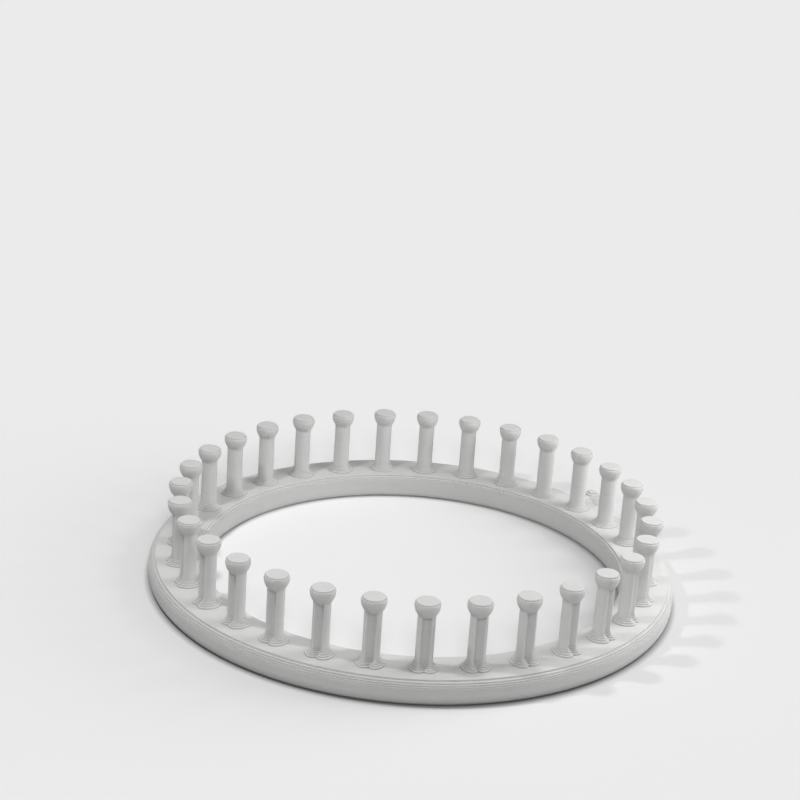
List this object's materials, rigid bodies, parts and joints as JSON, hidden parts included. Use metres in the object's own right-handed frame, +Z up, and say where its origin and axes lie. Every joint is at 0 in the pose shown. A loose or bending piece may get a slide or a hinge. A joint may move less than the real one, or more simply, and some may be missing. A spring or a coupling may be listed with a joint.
{
  "type": "round knitting loom",
  "caption": "Round knitting loom: a flat ring with upright grooved pegs with mushroom heads, and an anchor peg that points outwards to hold the yarn's tail.",
  "frame": {"origin": "centre of the ring's underside, on the surface that the loom rests on", "axes": "+Z up through the ring's opening, along the upright pegs; the first upright peg, peg_01, stands on -Y; +X to the right when peg_01 is nearest"},
  "size_m": [0.2064, 0.2064, 0.0355],
  "materials": {
    "ring_plastic": "satin, light grey, with fine layer steps",
    "peg_plastic": "satin, light grey, with fine layer steps"
  },
  "bodies": {
    "root": {"ring": "ring_plastic", "peg_01": "peg_plastic", "peg_02": "peg_plastic", "peg_03": "peg_plastic", "peg_04": "peg_plastic", "peg_05": "peg_plastic", "peg_06": "peg_plastic", "peg_07": "peg_plastic", "peg_08": "peg_plastic", "peg_09": "peg_plastic", "peg_10": "peg_plastic", "peg_11": "peg_plastic", "peg_12": "peg_plastic", "peg_13": "peg_plastic", "peg_14": "peg_plastic", "peg_15": "peg_plastic", "peg_16": "peg_plastic", "peg_17": "peg_plastic", "peg_18": "peg_plastic", "peg_19": "peg_plastic", "peg_20": "peg_plastic", "peg_21": "peg_plastic", "peg_22": "peg_plastic", "peg_23": "peg_plastic", "peg_24": "peg_plastic", "peg_25": "peg_plastic", "peg_26": "peg_plastic", "peg_27": "peg_plastic", "peg_28": "peg_plastic", "peg_29": "peg_plastic", "peg_30": "peg_plastic", "peg_31": "peg_plastic", "anchor_peg": "peg_plastic"}
  },
  "joints": []
}
